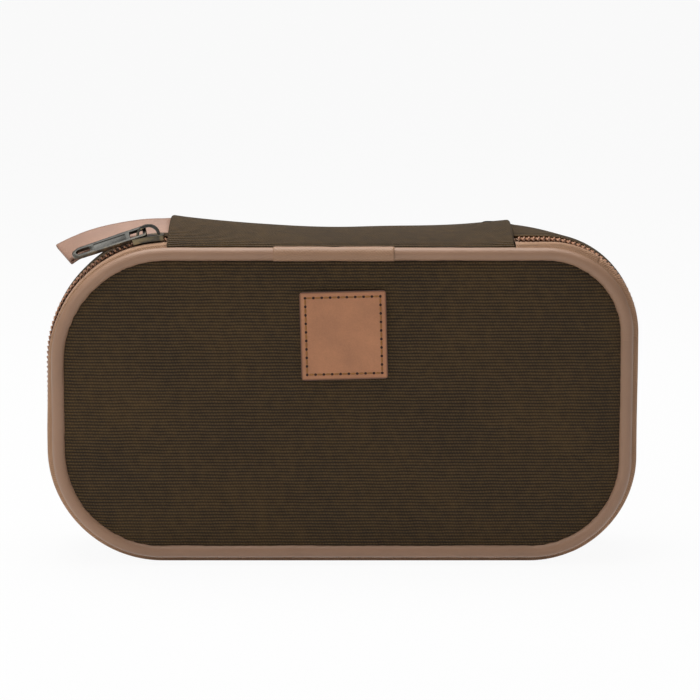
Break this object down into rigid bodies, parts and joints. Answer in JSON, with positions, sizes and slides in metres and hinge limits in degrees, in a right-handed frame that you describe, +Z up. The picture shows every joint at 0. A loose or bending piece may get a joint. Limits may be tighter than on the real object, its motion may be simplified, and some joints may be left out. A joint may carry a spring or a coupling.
{
  "type": "zip-around cosmetic bag",
  "caption": "Padded canvas cosmetic bag with rounded corners, leatherette piping, a zip round three sides, a lid hinged along the top, a wrist strap and a bare leather badge.",
  "frame": {"origin": "on the surface that the bag stands on, under the middle of the bag", "axes": "+X across the bag to the right as seen from the lid, +Y from the lid to the back panel, +Z up"},
  "size_m": [0.2406, 0.0598, 0.141],
  "materials": {
    "canvas": "woven",
    "foam": "soft",
    "lining": "woven",
    "binding": "woven",
    "leatherette": "soft sheen",
    "cord": "matte",
    "leather": "soft sheen",
    "strap_leather": "matte",
    "zip_tape": "woven",
    "zip_coil": "satin",
    "gunmetal": "antique"
  },
  "bodies": {
    "body": {"body_gusset": "canvas", "gusset_padding": "foam", "gusset_lining": "lining", "hinge_gusset": "canvas", "hinge_lining": "lining", "back_panel": "canvas", "back_padding": "foam", "back_lining": "lining", "rear_zip_tape": "zip_tape", "rear_zip_coil": "zip_coil", "zip_end_tapes": "zip_tape", "zip_end_coils": "zip_coil"},
    "lid": {"lid_panel": "canvas", "lid_padding": "foam", "lid_lining": "lining", "lid_binding": "binding", "piping_cover": "leatherette", "piping_cord": "cord", "piping_join": "leatherette", "badge": "leather", "lid_zip_tape": "zip_tape", "lid_zip_coil": "zip_coil"},
    "zip_slider": {"slider_body": "gunmetal", "slider_base": "gunmetal"},
    "pull": {"pull_tab": "gunmetal"},
    "strap": {"strap_loop": "strap_leather"}
  },
  "joints": [
    {"name": "lid_hinge", "type": "hinge", "parent": "body", "child": "lid", "pos_m": [0, -0.0236, 0.1295], "axis": [-1, 0, 0], "range_deg": [0, 110]},
    {"name": "slider_travel", "type": "hinge", "parent": "body", "child": "zip_slider", "pos_m": [-0.0705, -0.01545, 0.0833], "axis": [0, -1, 0], "range_deg": [0, 45]},
    {"name": "pull_swing", "type": "hinge", "parent": "zip_slider", "child": "pull", "pos_m": [-0.07984, -0.01545, 0.13522], "axis": [0, 1, 0], "range_deg": [0, 150]},
    {"name": "strap_swing", "type": "hinge", "parent": "body", "child": "strap", "pos_m": [-0.07292, 0.0035, 0.1373], "axis": [-0.1392, 0.9182, 0.371], "range_deg": [0, 45]}
  ]
}
